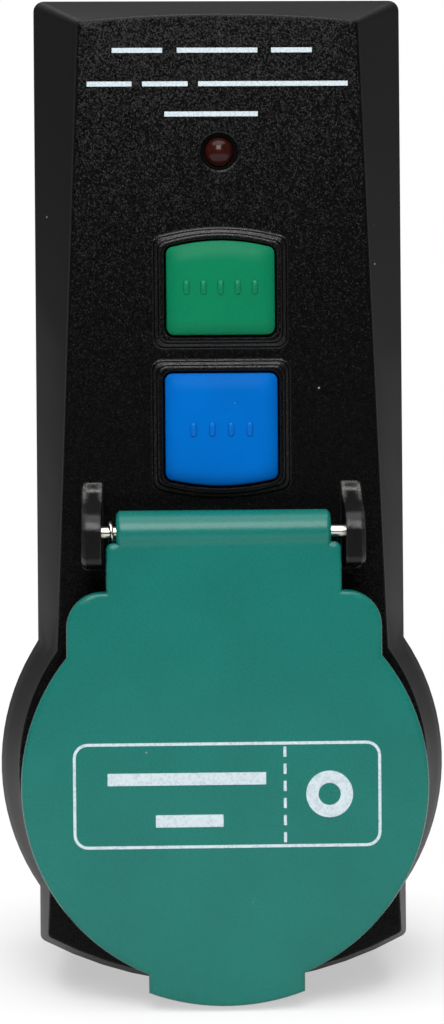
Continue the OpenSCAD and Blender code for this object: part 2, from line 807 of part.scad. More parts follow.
// Spring strips that stand up from the well's floor, above and below, joined behind the floor
module socket_earth_clip() {
    base_y = floor_back_y + earth_thickness / 2;
    foot_y = floor_y - 2;
    bow_y = floor_y - 8;
    bow_z = clip_z - 0.2;
    tip_y = inner_front_y - 1;
    tip_z = well_radius - 0.9;
    upper = [[base_y, clip_z], [foot_y, clip_z], [bow_y, bow_z], [tip_y, tip_z]];
    lower = [for (i = [3:-1:0]) [upper[i][0], -upper[i][1]]];
    color("#c9c9c4") along_x(-earth_width / 2, earth_width / 2)
        polygon(ribbon(concat(lower, upper), earth_thickness));
}

pin_head = pin_radius + 1;
head_back_y = -nose_face - 2.4;
stub_radius = 1.6;
stub_proud = 0.5;

module plug_pin(side) {
    place = [side * pin_spacing / 2, 0];
    color("#c9c9c4") {
        rod_y(pin_radius, 0, pin_length - pin_radius, place);
        translate([place[0], pin_length - pin_radius, 0]) sphere(r = pin_radius);
        rod_y(pin_neck, -nose_face, 0, place);
        rod_y(pin_head, head_back_y, -nose_face, place);
        rod_y(stub_radius, head_back_y - bar_thickness - stub_proud, head_back_y, place);
    }
}

module plug_pin_live() { plug_pin(-1); }

module plug_pin_neutral() { plug_pin(1); }

earth_lift = 1.6;
earth_base_y = inner_rear_y - earth_lift;
earth_post_radius = 2;

// Side strips of the plug body, joined across the inside of the back
module plug_earth_clip() {
    bend_y = -4;
    tip_y = -1.6;
    tip_z = earth_rest - 0.4;
    upper = [[earth_base_y, earth_rest], [bend_y, earth_rest], [tip_y, tip_z]];
    lower = [for (i = [2:-1:0]) [upper[i][0], -upper[i][1]]];
    color("#c9c9c4") along_x(-earth_width / 2, earth_width / 2)
        polygon(ribbon(concat(lower, upper), earth_thickness));
}

module earth_post() {
    end_y = earth_base_y - earth_thickness / 2;
    color("#c8a24a") rod_y(earth_post_radius, floor_back_y + earth_thickness, end_y);
}

pocket_radius = flap_coil + flap_wire + 0.2;
tang_hole = flap_wire + 0.15;
spring_span = flap_turns * flap_pitch;
seal_outer = collar_radius - 0.5;
seal_inner = well_radius + 0.9;

// Each spring's leg stands beside its ear. The right coil starts further in, inside the barrel
leg_x = ear_span / 2 - 0.75;
leg_drop = 3.4;
spring_leads = [1.3, 0];
tang_turn = 0.9;
tang_depth = 1.6;

function pocket_x(side) = leg_x - spring_leads[side] - spring_span - tang_turn - flap_wire - stop_gap;

// Planes of the flap's rounded edge, each with the amount by which the outline is drawn in there
flap_steps = [[flap_outer_y, flap_edge], [flap_outer_y + flap_edge * 0.3, flap_edge * 0.3],
    [flap_outer_y + flap_edge, 0], [flap_inner_y, 0]];

// Upright piece of the flap, round at its upper corners
function upright_outline(width, top, corner, inset) =
    let (half = width / 2 - inset, high = top - inset, c = corner - inset)
    concat(
        arc(half - c, high - c, c, 0, 90, corner_steps * 2),
        arc(c - half, high - c, c, 90, 180, corner_steps * 2),
        [[-half, 0], [half, 0]]
    );

function tab_outline(inset) =
    let (half = tab_width / 2 - inset, low = -flap_radius * 1.5, high = -flap_radius / 2)
    [[-half, low], [half, low], [half, high], [-half, high]];

// Disc of the flap with its rounded edge
module flap_disc(r) {
    place = [0, -flap_drop];
    for (i = [0, 1]) let (a = flap_steps[i], b = flap_steps[i + 1])
        cone_y(r - a[1], r - b[1], a[0], b[0], place);
    rod_y(r, flap_steps[2][0], flap_inner_y, place);
}

module flap_plate() {
    flap_disc(flap_radius);
    intersection() {
        flap_disc(flap_radius + tab_reach);
        loft([for (s = flap_steps) [s[0], tab_outline(s[1])]]);
    }
    loft([for (s = flap_steps)
        [s[0], upright_outline(shoulder_width, hinge_height - shoulder_drop, shoulder_corner, s[1])]]);
    loft([for (s = flap_steps)
        [s[0], upright_outline(neck_width, hinge_height - neck_drop, neck_corner, s[1])]]);
}

// Barrel about the hinge pin, with rounded ends and a web down to the plate
module flap_barrel() {
    half = barrel_length / 2 - barrel_round;
    web = barrel_radius * 2;
    rod_x(barrel_radius, -half, half, axis_y, hinge_height);
    for (side = [0, 1]) mirror([side, 0, 0]) translate([half, axis_y, hinge_height]) rotate([0, 90, 0])
        cylinder(r1 = barrel_radius, r2 = barrel_radius - barrel_round, h = barrel_round);
    block(0, hinge_height - web / 2, half * 2, web, flap_outer_y, flap_inner_y);
}

module flap_lid() {
    color("#2a7a6e") difference() {
        union() {
            flap_plate();
            flap_barrel();
        }
        rod_x(hinge_pin_radius + running_gap, -half_width, half_width, axis_y, hinge_height);
        for (side = [0, 1]) mirror([side, 0, 0]) {
            floor_x = pocket_x(side);
            rod_x(pocket_radius, floor_x, half_width, axis_y, hinge_height);
            rod_x(tang_hole, floor_x - tang_depth, floor_x + over, axis_y, hinge_height + flap_coil);
        }
        difference() {
            rod_y(seal_outer, flap_inner_y - seal_groove, flap_inner_y + over);
            rod_y(seal_inner, flap_inner_y - seal_groove - over, flap_inner_y + over * 2);
        }
    }
}

module flap_seal() {
    color("#2b2b2b") difference() {
        rod_y(seal_outer - seat_gap, flap_inner_y - seal_groove, collar_y);
        rod_y(seal_inner + seat_gap, flap_inner_y - seal_groove - over, collar_y + over);
    }
}

module hinge_pin() {
    end = ear_span / 2 + ear_thickness;
    color("#c4beb0") rod_x(hinge_pin_radius, -end, end, axis_y, hinge_height);
}

// A spring's wire: a leg that rests on the panel, a lead to the coil, and a tang along the axis into the flap
function spring_path(lead) =
    let (
        coil = turns_x(flap_coil, flap_turns, -flap_pitch),
        leg_end = panel_y - axis_y - flap_wire - stop_gap,
        end_x = -lead - spring_span,
        leg = [[0, leg_end, -leg_drop], [0, leg_end - 0.5, 1 - leg_drop], [0, flap_coil + 0.1, -0.9]],
        bend = [for (i = [1:2]) [end_x - tang_turn * i / 3, flap_coil * cos(30 * i), flap_coil * sin(30 * i)]],
        tang = [[end_x - tang_turn, 0, flap_coil], [end_x - tang_turn - tang_depth, 0, flap_coil]]
    )
    concat(leg, lead > 0 ? [[-0.15, flap_coil, -0.2]] : [], [for (p = coil) p - [lead, 0, 0]], bend, tang);

module flap_springs() {
    color("#cfc9bc") for (side = [0, 1]) mirror([side, 0, 0]) {
        path = [for (p = spring_path(spring_leads[side])) p + [leg_x, axis_y, hinge_height]];
        echo(flap_spring_gap = least_gap(path, flap_wire));
        wire(path, flap_wire);
    }
}

// A push button: a cap with a rounded front, a flange behind the panel and a round stem
module push_button(w, h, z, direction) {
    front_y = panel_y - button_proud;
    translate([0, 0, z]) {
        loft(concat(
            [for (i = [0:edge_steps]) let (a = 90 * i / edge_steps, grow = button_edge * (sin(a) - 1))
                [front_y + button_edge * (1 - cos(a)), button_outline(w, h, grow, direction)]],
            [[flange_back_y, button_outline(w, h, 0, direction)]]
        ));
        along_y(flange_front_y, flange_back_y) polygon(button_outline(w, h, flange_margin, direction));
        rod_y(stem_radius, flange_back_y - root, stem_end_y);
    }
}

module reset_button() {
    color("#1a8a5c") push_button(reset_width, reset_height, reset_z, 1);
}

module test_button() {
    color("#0064c0") push_button(test_width, test_height, test_z, -1);
}

// A helix between two faces, just clear of both
module press_spring(r, turns, y0, y1) {
    lift = press_wire + running_gap;
    path = [for (p = turns_y(r, turns, (y1 - y0 - lift * 2) / turns)) p + [0, y0 + lift, 0]];
    echo(press_spring_gap = least_gap(path, press_wire));
    wire(path, press_wire);
}

module reset_spring() {
    color("#cfc9bc") translate([0, 0, reset_z])
        press_spring(press_coil, press_turns, flange_back_y, guide_front_y);
}

module test_spring() {
    color("#cfc9bc") translate([0, 0, test_z])
        press_spring(press_coil, press_turns, flange_back_y, guide_front_y);
}

// Plate staked to the front shell that guides both stems and carries their springs
module button_guide() {
    middle = (guide_low + guide_high) / 2;
    color("#3a3a3c") difference() {
        block(0, middle, guide_half * 2, guide_high - guide_low, guide_front_y, guide_back_y);
        for (z = [reset_z, test_z])
            rod_y(stem_radius + running_gap, guide_front_y - over, guide_back_y + over, [0, z]);
        for (p = guide_places) rod_y(stake_radius + seat_gap, guide_front_y - over, guide_back_y + over, p);
    }
}

test_post_x = 4.6;
test_post_radius = 0.8;
test_pad_radius = 1.2;
test_pad = 0.8;
bridge_width = 3;

module test_bridge() {
    color("#c8a24a") block(0, test_z, test_post_x * 2 + bridge_width, bridge_width, stem_end_y,
        stem_end_y + bridge_thickness);
}

module test_posts() {
    top_y = stem_end_y + bridge_thickness + test_travel + stop_gap;
    color("#c8a24a") for (side = [-1, 1]) {
        rod_y(test_post_radius, top_y, board_front_y, [side * test_post_x, test_z]);
        rod_y(test_pad_radius, top_y, top_y + test_pad, [side * test_post_x, test_z]);
    }
}

lamp_sink = 0.9;
lamp_rim = 0.5;
lamp_flange = 1;
lamp_flange_y = inner_front_y + 1.4;
lead_radius = 0.25;
lead_x = 0.9;
spacer_wall = 1;

module indicator_lamp() {
    dome_y = panel_y + lamp_sink;
    color("#4a1a16") {
        translate([0, dome_y, lamp_z]) sphere(r = lamp_radius);
        rod_y(lamp_radius, dome_y, lamp_flange_y, [0, lamp_z]);
        rod_y(lamp_radius + lamp_rim, lamp_flange_y, lamp_flange_y + lamp_flange, [0, lamp_z]);
        for (side = [-1, 1]) rod_y(lead_radius, lamp_flange_y + root, board_front_y, [side * lead_x, lamp_z]);
    }
}

module lamp_spacer() {
    color("#d8d4c8") difference() {
        rod_y(spacer_radius, lamp_flange_y + lamp_flange, board_front_y, [0, lamp_z]);
        rod_y(spacer_radius - spacer_wall, lamp_flange_y, board_front_y + over, [0, lamp_z]);
    }
}

board_hole = board_screw + 0.15;
board_head_radius = board_screw + 0.9;
board_head = 1.2;
post_hole = post_radius + seat_gap;

module circuit_board() {
    color("#2f6b3a") difference() {
        block(0, (board_low + board_high) / 2, board_half * 2, board_high - board_low,
            board_front_y, board_back_y);
        for (side = [-1, 1]) for (end = [-1, 1])
            rod_y(post_hole, board_front_y - over, board_back_y + over,
                [side * contact_x, reset_z + end * contact_z]);
        for (p = board_places) rod_y(board_hole, board_front_y - over, board_back_y + over, p);
    }
}

module board_screws() {
    color("#b8b8b4") for (p = board_places) {
        rod_y(board_screw, board_front_y, inner_rear_y - root, p);
        rod_y(board_head_radius, board_front_y - board_head, board_front_y, p);
    }
}

arm_height = 7;
arm_end = 2.6;
stem_width = 9;
stem_end = 2.4;
armature_width = 14.4;
contact_width = 2.6;
contact_end = 2;
pin_proud = 0.3;
carrier_coil = guide_pin_radius + press_wire + 0.4;
pad_height = 0.8;
pad_radius = post_radius + 0.3;
post_proud = 0.3;
post_tail = 0.6;

// Cross-shaped slide that carries the moving contacts and the armature
module contact_carrier() {
    color("#d8d4c8") difference() {
        union() {
            block(0, reset_z, (contact_x + arm_end) * 2, arm_height, carrier_front_y, carrier_back_y);
            block(0, reset_z, stem_width, (guide_pin_offset + stem_end) * 2, carrier_front_y, carrier_back_y);
        }
        for (p = carrier_pins)
            rod_y(guide_pin_radius + running_gap, carrier_front_y - over, carrier_back_y + over, p);
    }
}

module armature_plate() {
    color("#8a8d90") block(0, reset_z, armature_width, arm_height, carrier_back_y, armature_back_y);
}

module moving_contacts() {
    color("#c98a4a") for (side = [-1, 1])
        block(side * contact_x, reset_z, contact_width, (contact_z + contact_end) * 2,
            carrier_back_y, bridge_back_y);
}

module carrier_guide_pins() {
    color("#b8b8b4") for (p = carrier_pins)
        rod_y(guide_pin_radius, carrier_front_y - pin_proud, board_front_y, p);
}

module carrier_springs() {
    color("#cfc9bc") for (p = carrier_pins) translate([0, 0, p[1]])
        press_spring(carrier_coil, carrier_turns, carrier_back_y, board_front_y);
}

// A post with a wider contact face, which ends on a bar behind or in front of the board
module contact_post(side, z, end_y) {
    place = [side * contact_x, z];
    rod_y(post_radius, post_top_y + pad_height, end_y, place);
    rod_y(pad_radius, post_top_y, post_top_y + pad_height, place);
}

module feed_contacts() {
    color("#c8a24a") for (side = [-1, 1])
        contact_post(side, reset_z - contact_z, feed_bar_y + bar_thickness / 2 + post_proud);
}

module load_contacts() {
    color("#c8a24a") for (side = [-1, 1]) contact_post(side, reset_z + contact_z, board_back_y + post_tail);
}

bar_rise_z = 8.2;
bar_end = 3;

// Bent bar from a plug pin, forward out of the plug body and up behind the board to its feed contact
module feed_bar(side) {
    pin_x = side * pin_spacing / 2;
    start_y = head_back_y - bar_thickness / 2;
    top_z = reset_z - contact_z;
    path = [[start_y, -bar_end], [start_y, bar_rise_z], [feed_bar_y, bar_rise_z],
        [feed_bar_y, top_z + bar_end]];
    color("#c47a44") difference() {
        along_x(pin_x - bar_width / 2, pin_x + bar_width / 2) polygon(ribbon(path, bar_thickness));
        rod_y(stub_radius + seat_gap, start_y - bar_thickness, start_y + bar_thickness, [pin_x, 0]);
        rod_y(post_hole, feed_bar_y - bar_thickness, feed_bar_y + bar_thickness, [side * contact_x, top_z]);
    }
}

module live_feed_bar() { feed_bar(-1); }

module neutral_feed_bar() { feed_bar(1); }

bar_slim = 2.6;
core_x = 2.8;
outer_x = 15.4;
turn_high_z = test_z - 3.2;
turn_low_z = shelf_top - shelf_thickness - 1.9;
post_eye = post_radius + 1;
sleeve_eye = sleeve_radius + 1.4;

// Flat bar from a load contact, out and down past the switch, through the sensing core, to a socket contact
module load_bar(side) {
    pin_x = pin_spacing / 2;
    high = reset_z + contact_z;
    stops = [[contact_x, high], [outer_x, high], [outer_x, turn_high_z], [core_x, turn_high_z],
        [core_x, turn_low_z], [pin_x, turn_low_z], [pin_x, 0]];
    color("#c47a44") mirror([side < 0 ? 1 : 0, 0, 0]) difference() {
        along_y(load_bar_y - bar_thickness / 2, load_bar_y + bar_thickness / 2) union() {
            for (i = [0:len(stops) - 2]) let (a = stops[i], b = stops[i + 1]) translate((a + b) / 2)
                square([abs(a[0] - b[0]) + bar_slim, abs(a[1] - b[1]) + bar_slim], center = true);
            translate([contact_x, high]) circle(r = post_eye);
            translate([pin_x, 0]) circle(r = sleeve_eye);
        }
        rod_y(post_hole, load_bar_y - bar_thickness, load_bar_y + bar_thickness, [contact_x, high]);
        rod_y(sleeve_radius + seat_gap, load_bar_y - bar_thickness, load_bar_y + bar_thickness, [pin_x, 0]);
    }
}

module live_load_bar() { load_bar(-1); }

module neutral_load_bar() { load_bar(1); }

yoke_plate = 1.2;
yoke_height = 9;
yoke_half = winding_radius + 1.2;
core_tail = core_radius - 0.6;
bobbin_flange = 0.9;
bobbin_rim = winding_radius + 0.5;
bobbin_tube = core_radius + 0.7;
bobbin_front_y = pole_y + 0.8;
bobbin_back_y = board_front_y - yoke_plate;

module coil_yoke() {
    cheek_x = yoke_half + yoke_plate / 2;
    color("#8a8d90") difference() {
        union() {
            block(0, reset_z, (yoke_half + yoke_plate) * 2, yoke_height, bobbin_back_y, board_front_y);
            for (side = [-1, 1])
                block(side * cheek_x, reset_z, yoke_plate, yoke_height, pole_y, board_front_y);
        }
        rod_y(core_tail + seat_gap, bobbin_back_y - over, board_front_y + over, [0, reset_z]);
    }
}

module coil_core() {
    color("#9a9da0") {
        rod_y(core_radius, pole_y, bobbin_back_y, [0, reset_z]);
        rod_y(core_tail, bobbin_back_y, board_front_y, [0, reset_z]);
    }
}

module coil_bobbin() {
    color("#e4dfd2") difference() {
        union() {
            rod_y(bobbin_tube, bobbin_front_y, bobbin_back_y, [0, reset_z]);
            rod_y(bobbin_rim, bobbin_front_y, bobbin_front_y + bobbin_flange, [0, reset_z]);
            rod_y(bobbin_rim, bobbin_back_y - bobbin_flange, bobbin_back_y, [0, reset_z]);
        }
        rod_y(core_radius + seat_gap, bobbin_front_y - over, bobbin_back_y + over, [0, reset_z]);
    }
}

module coil_winding() {
    color("#b5652c") difference() {
        rod_y(winding_radius, bobbin_front_y + bobbin_flange, bobbin_back_y - bobbin_flange, [0, reset_z]);
        rod_y(bobbin_tube + seat_gap, bobbin_front_y, bobbin_back_y, [0, reset_z]);
    }
}

winding_layer = 0.7;
winding_angle = 100;

// Ring through which both load bars pass
module sensing_core() {
    color("#3c6ea0") translate([0, load_bar_y, shelf_top]) difference() {
        cylinder(r = sensing_radius, h = sensing_height);
        translate([0, 0, -over]) cylinder(r = sensing_bore, h = sensing_height + over * 2);
    }
}

// Wound sector that wraps the outside and the top of the ring, away from the wall
module sensing_winding() {
    depth = sensing_radius - sensing_bore + seat_gap;
    height = sensing_height - winding_layer + seat_gap;
    color("#b5652c") translate([0, load_bar_y, shelf_top]) rotate([0, 0, 90 - winding_angle / 2])
        rotate_extrude(angle = winding_angle) difference() {
            translate([sensing_bore, winding_layer]) square([depth + winding_layer, sensing_height]);
            translate([sensing_bore - over, winding_layer - over]) square([depth + over, height + over]);
        }
}

// Pieces in the upper part of the board, beside its screws
piece_gap = 0.6;
piece_x = board_hole_x - board_head_radius - piece_gap;
row_rise = 13;
row_z = reset_z + row_rise;
capacitor_width = 10;
capacitor_depth = 9;
capacitor_height = 8;
capacitor_drop = 6.5;
varistor_radius = 4.2;
varistor_half = 1.7;
varistor_drop = 4.8;
varistor_lift = 1;
varistor_leg = 0.35;
varistor_leg_z = 2.5;
chip_width = 9;
chip_depth = 3.2;
chip_height = 5.5;
resistor_radius = 1.2;
resistor_half = 3;
resistor_lead = 0.3;
resistor_reach = 4.5;

module film_capacitor() {
    color("#b03a2e") block(capacitor_width / 2 - piece_x, board_high - capacitor_drop, capacitor_width,
        capacitor_height, board_front_y - capacitor_depth, board_front_y);
}

module varistor() {
    x = piece_x - varistor_radius;
    z = board_high - varistor_drop;
    disc_y = board_front_y - varistor_radius - varistor_lift;
    color("#2c58a0") {
        rod_x(varistor_radius, x - varistor_half, x + varistor_half, disc_y, z);
        for (side = [-1, 1]) rod_y(varistor_leg, disc_y, board_front_y, [x, z + side * varistor_leg_z]);
    }
}

module control_chip() {
    color("#2a2a2a") block(piece_x - chip_width / 2, row_z, chip_width, chip_height,
        board_front_y - chip_depth, board_front_y);
}

module test_resistor() {
    x = resistor_reach - piece_x;
    y = board_front_y - resistor_radius;
    foot_x = resistor_reach - resistor_lead;
    color("#c8b48a") {
        rod_x(resistor_radius, x - resistor_half, x + resistor_half, y, row_z);
        rod_x(resistor_lead, x - resistor_reach, x + resistor_reach, y, row_z);
        for (side = [-1, 1]) rod_y(resistor_lead, y, board_front_y, [x + side * foot_x, row_z]);
    }
}

front_housing();
rear_housing();
housing_seal();
housing_screws();
socket_insert();
socket_contact_live();
socket_contact_neutral();
socket_earth_clip();
plug_pin_live();
plug_pin_neutral();
plug_earth_clip();
earth_post();
flap_lid();
flap_seal();
hinge_pin();
flap_springs();
reset_button();
test_button();
reset_spring();
test_spring();
button_guide();
test_bridge();
test_posts();
indicator_lamp();
lamp_spacer();
circuit_board();
board_screws();
contact_carrier();
armature_plate();
moving_contacts();
carrier_guide_pins();
carrier_springs();
feed_contacts();
load_contacts();
live_feed_bar();
neutral_feed_bar();
live_load_bar();
neutral_load_bar();
coil_bobbin();
coil_winding();
coil_core();
coil_yoke();
sensing_core();
sensing_winding();
film_capacitor();
varistor();
control_chip();
test_resistor();
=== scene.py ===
"""Dresses the residual current adapter plug: materials, small trim, springs, studio and camera."""

import json
import math

import bmesh
import bpy
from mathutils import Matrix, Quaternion, Vector


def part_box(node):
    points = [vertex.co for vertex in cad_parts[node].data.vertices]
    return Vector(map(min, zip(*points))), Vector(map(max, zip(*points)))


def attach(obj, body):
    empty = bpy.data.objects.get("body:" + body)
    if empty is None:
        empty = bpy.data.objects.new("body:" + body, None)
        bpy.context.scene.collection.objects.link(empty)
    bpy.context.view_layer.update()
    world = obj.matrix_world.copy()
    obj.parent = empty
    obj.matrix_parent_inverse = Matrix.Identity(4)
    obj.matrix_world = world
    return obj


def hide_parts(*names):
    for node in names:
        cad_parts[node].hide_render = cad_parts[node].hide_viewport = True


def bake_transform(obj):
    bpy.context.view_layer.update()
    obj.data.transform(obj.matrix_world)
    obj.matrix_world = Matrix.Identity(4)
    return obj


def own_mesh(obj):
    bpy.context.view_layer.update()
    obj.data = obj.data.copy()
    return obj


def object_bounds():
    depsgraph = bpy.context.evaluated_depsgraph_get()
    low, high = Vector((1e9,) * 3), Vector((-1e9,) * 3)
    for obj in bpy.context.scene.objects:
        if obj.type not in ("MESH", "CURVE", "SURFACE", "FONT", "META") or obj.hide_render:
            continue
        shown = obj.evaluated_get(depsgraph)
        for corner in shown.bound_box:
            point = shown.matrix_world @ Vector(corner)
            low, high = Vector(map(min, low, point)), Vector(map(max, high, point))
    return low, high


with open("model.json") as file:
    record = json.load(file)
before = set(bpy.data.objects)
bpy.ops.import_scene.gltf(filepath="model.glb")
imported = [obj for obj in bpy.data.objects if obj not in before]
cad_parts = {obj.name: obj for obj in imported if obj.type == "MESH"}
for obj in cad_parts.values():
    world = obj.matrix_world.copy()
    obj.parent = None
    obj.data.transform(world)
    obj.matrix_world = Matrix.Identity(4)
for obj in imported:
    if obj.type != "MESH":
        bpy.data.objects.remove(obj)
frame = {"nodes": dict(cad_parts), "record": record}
cad_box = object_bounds()
MM = 0.001

# Front panel of the housing and the depth of its button frames, from the part's drawing, in millimetres
PANEL_Y = -57.0
FRAME_Y = -57.8

# Tips of the hinge ears, from the part's drawing, in millimetres: their top and their inner side
EAR_TIP_Z = 36.4
EAR_INNER_X = 14.8

# Masks of the front shell, in millimetres: where each one is still off and where it is full
EAR_SIDE = (EAR_INNER_X - 0.5, EAR_INNER_X)
EAR_TIP_LOW = (EAR_TIP_Z - 2.5, EAR_TIP_Z - 1.5)
EAR_TIP_HIGH = (EAR_TIP_Z + 0.5, EAR_TIP_Z + 0.1)
EAR_FRONT = (PANEL_Y - 0.15, PANEL_Y - 0.4)
PANEL_FRONT = (PANEL_Y + 0.5, PANEL_Y + 0.2)
FRAME_FRONT = (FRAME_Y - 0.5, FRAME_Y - 0.2)

# Rounded edges in the shading, in metres: the shell's, its ear tips' and the buttons' whole fronts
SHELL_EDGE = 0.0004
EAR_TIP_EDGE = 0.0012
BUTTON_DOME = 0.0032

# Facets of a CAD node that meet at less than this are shaded as one smooth face, in degrees
SMOOTH_LIMIT = 32

# Hinge springs, from the part's drawing, in millimetres: coil, leg with foot and knee, lead, and tang
SPRING_WIRE = 0.25
SPRING_COIL = 1.2
SPRING_TURNS = 4
SPRING_PITCH = 0.95
SPRING_LEG_DROP = 3.4
FOOT_BEND = 0.5
FOOT_RISE = 1.0
KNEE_OUT = 0.1
KNEE_DROP = 0.9
SPRING_LEADS = {"right": 1.3, "left": 0.0}
LEAD_START = 0.15
LEAD_DROP = 0.2
TANG_TURN = 0.9
TANG_DEPTH = 1.6

# Travel of the sliding joints, in millimetres, by the spring that each one shortens
SPRING_TRAVELS = {"reset_spring": ("reset_press", 2.5), "test_spring": ("test_press", 1.5),
                  "carrier_springs": ("carrier_slide", 2.5)}

# Grip ribs on the buttons, in millimetres: count and spacing by body, then their size and how round they end
RIB_ROWS = {"reset": (5, 2.1), "test": (4, 2.3)}
RIB_WIDTH = 0.8
RIB_HEIGHT = 1.8
RIB_RISE = 0.14
RIB_SINK = 0.04
RIB_CORNER_SHARE = 0.49

# Printed marks, in millimetres: each bar is a left end, a right end and a height
PRINT_RISE = 0.03
PANEL_BARS = [(-13.1, -6.9, 89.6), (-5.1, 4.8, 89.6), (6.5, 11.5, 89.6),
              (-16.2, -10.7, 85.5), (-9.4, -3.8, 85.5), (-2.5, 15.9, 85.5),
              (-6.7, 4.8, 81.8)]
PANEL_BAR_WIDTH = 0.6
FLAP_FRAME_WIDTH = 37.0
FLAP_FRAME_HEIGHT = 12.5
FLAP_FRAME_PLACE = (0.2, -1.3)
FLAP_FRAME_CORNER = 1.6
FLAP_FRAME_LINE = 0.36
FLAP_BARS = [(-14.3, 4.9, 0.7), (-8.5, -0.3, -4.4)]
FLAP_BAR_WIDTH = 1.5
FLAP_DIVIDER_X = 7.2
FLAP_DASHES = 6
FLAP_DASH_SHARE = 0.6
FLAP_RING_PLACE = (12.6, -1.3)
FLAP_RING_RADIUS = 2.1

# How far the flap's barrel stands in front of its plate, from the part's drawing, in millimetres
FLAP_BARREL_PROUD = 0.3

# Colours of the moulded pieces that are seen most, linear, and how much paler plastic is at its edges
FLAP_COLOR = (0.005, 0.138, 0.113)
RESET_COLOR = (0.0030, 0.166, 0.074)
TEST_COLOR = (0.0003, 0.113, 0.440)
EDGE_GAIN = 1.3

# Grain of the front panel: the width of one flake in metres, and how far its facets tilt
FLAKE_CELL = 0.00015
FLAKE_TILT = 0.26

# Floor, in metres: its white share rises between two distances from the part's foot, and gloss sees less
FLOOR_HALF = 0.33
FLOOR_GAP = 0.0003
FLOOR_REACHES = (0.025, 0.055)
FLOOR_WHITES = (0.5, 1.0)
FLOOR_MIRRORED = 0.45
FLOOR_COLOR = (0.86, 0.86, 0.86, 1.0)
FOOT_FORWARD = 0.01

# World: the strength of its light, and what gloss sees of it, brighter to the back and fainter further up
WHITE = (1.0, 1.0, 1.0, 1.0)
WORLD_FILL = 0.16
BACK_DIRECTION = (0.3, 1.0, 0.0)
BACK_RANGE = (-0.6, 0.5)
BACK_STRENGTHS = (0.02, 0.4)
HEIGHT_RANGE = (0.1, 0.6)
HEIGHT_SHARES = (1.0, 0.2)

# Lights, in metres and watts, and the point that they look at
KEY_LIGHT = {"place": (-0.03, -0.52, 0.38), "size": 0.32, "power": 2.85}
TOP_LIGHT = {"place": (-0.03, -0.12, 0.7), "size": 0.8, "power": 5.4}
LIGHT_AIM = (0.0, -0.05, 0.03)

# Camera, in millimetres, fitted to the photograph's outline
CAMERA_PLACE = (-8.27, -349.4, 42.1)
CAMERA_AIM = (0.343, -45.0, 32.42)
CAMERA_ROLL = -0.008
CAMERA_LENS = 83.2


# Node helpers

def node(tree, kind, inputs=None, **settings):
    """One node with its settings, and its inputs linked to sockets or set to values."""
    made = tree.nodes.new(kind)
    for key, value in settings.items():
        setattr(made, key, value)
    for key, value in (inputs or {}).items():
        if isinstance(value, bpy.types.NodeSocket):
            tree.links.new(value, made.inputs[key])
        else:
            made.inputs[key].default_value = value
    return made


def math_node(tree, operation, a, b=0.0):
    return node(tree, "ShaderNodeMath", {0: a, 1: b}, operation=operation).outputs[0]


def product(tree, first, *others):
    """The product of sockets and numbers."""
    for other in others:
        first = math_node(tree, "MULTIPLY", first, other)
    return first


def vector_math(tree, operation, a, b=(0.0, 0.0, 0.0)):
    return node(tree, "ShaderNodeVectorMath", {0: a, 1: b}, operation=operation).outputs


def ranged(tree, value, low, high, to_low, to_high):
    """value moved from one range to another, and held inside it."""
    inputs = {"Value": value, "From Min": low, "From Max": high, "To Min": to_low, "To Max": to_high}
    return node(tree, "ShaderNodeMapRange", inputs).outputs["Result"]


def step(tree, value, off, on):
    """A mask that goes from 0 where value is off to 1 where it is on, both in millimetres."""
    return ranged(tree, value, off * MM, on * MM, 0.0, 1.0)


def mix_color(tree, factor, a, b):
    return node(tree, "ShaderNodeMix", {0: factor, 6: a, 7: b}, data_type="RGBA").outputs[2]


def noise(tree, coords, cell, detail=2.0, stretch=None):
    """Noise from 0 to 1 whose lumps are about one cell wide, in metres."""
    if stretch:
        coords = node(tree, "ShaderNodeMapping", {"Vector": coords, "Scale": stretch}).outputs[0]
    inputs = {"Vector": coords, "Scale": 1 / cell, "Detail": detail}
    return node(tree, "ShaderNodeTexNoise", inputs).outputs["Fac"]


def bump(tree, height, distance, strength, normal):
    inputs = {"Height": height, "Distance": distance, "Strength": strength, "Normal": normal}
    return node(tree, "ShaderNodeBump", inputs).outputs[0]


def dust(tree, coords, cell, share):
    """Mask of a few fine specks: one in each cell at most, and only in a share of the cells."""
    cells = node(tree, "ShaderNodeTexVoronoi", {"Vector": coords, "Scale": 1 / cell})
    close = ranged(tree, cells.outputs["Distance"], 0.03, 0.07, 1.0, 0.0)
    pick = node(tree, "ShaderNodeSeparateColor", {"Color": cells.outputs["Color"]}).outputs[0]
    return product(tree, close, math_node(tree, "LESS_THAN", pick, share))


def soft_edges(tree, radius):
    """The normal with edges rounded off, and a mask that is 1 where such an edge turns."""
    normal = node(tree, "ShaderNodeBevel", {"Radius": radius}, samples=6).outputs[0]
    plain = node(tree, "ShaderNodeNewGeometry").outputs["Normal"]
    along = vector_math(tree, "DOT_PRODUCT", normal, plain)["Value"]
    return normal, ranged(tree, along, 0.99, 0.8, 0.0, 1.0)


def shade(color, gain):
    return (color[0] * gain, color[1] * gain, color[2] * gain, 1.0)


def new_material(name):
    """A node material with its Principled shader and the object's own coordinates."""
    material = bpy.data.materials.new(name)
    material.use_nodes = True
    tree = material.node_tree
    coords = node(tree, "ShaderNodeTexCoord").outputs["Object"]
    return material, tree, tree.nodes["Principled BSDF"], coords


def connect(tree, shader, **sockets):
    """Links sockets to the shader's inputs, which are named with _ for a space."""
    for name, socket in sockets.items():
        tree.links.new(socket, shader.inputs[name.replace("_", " ")])


def settle(shader, **values):
    """Sets constant values on the shader's inputs, which are named with _ for a space."""
    for name, value in values.items():
        shader.inputs[name.replace("_", " ")].default_value = value


# Materials

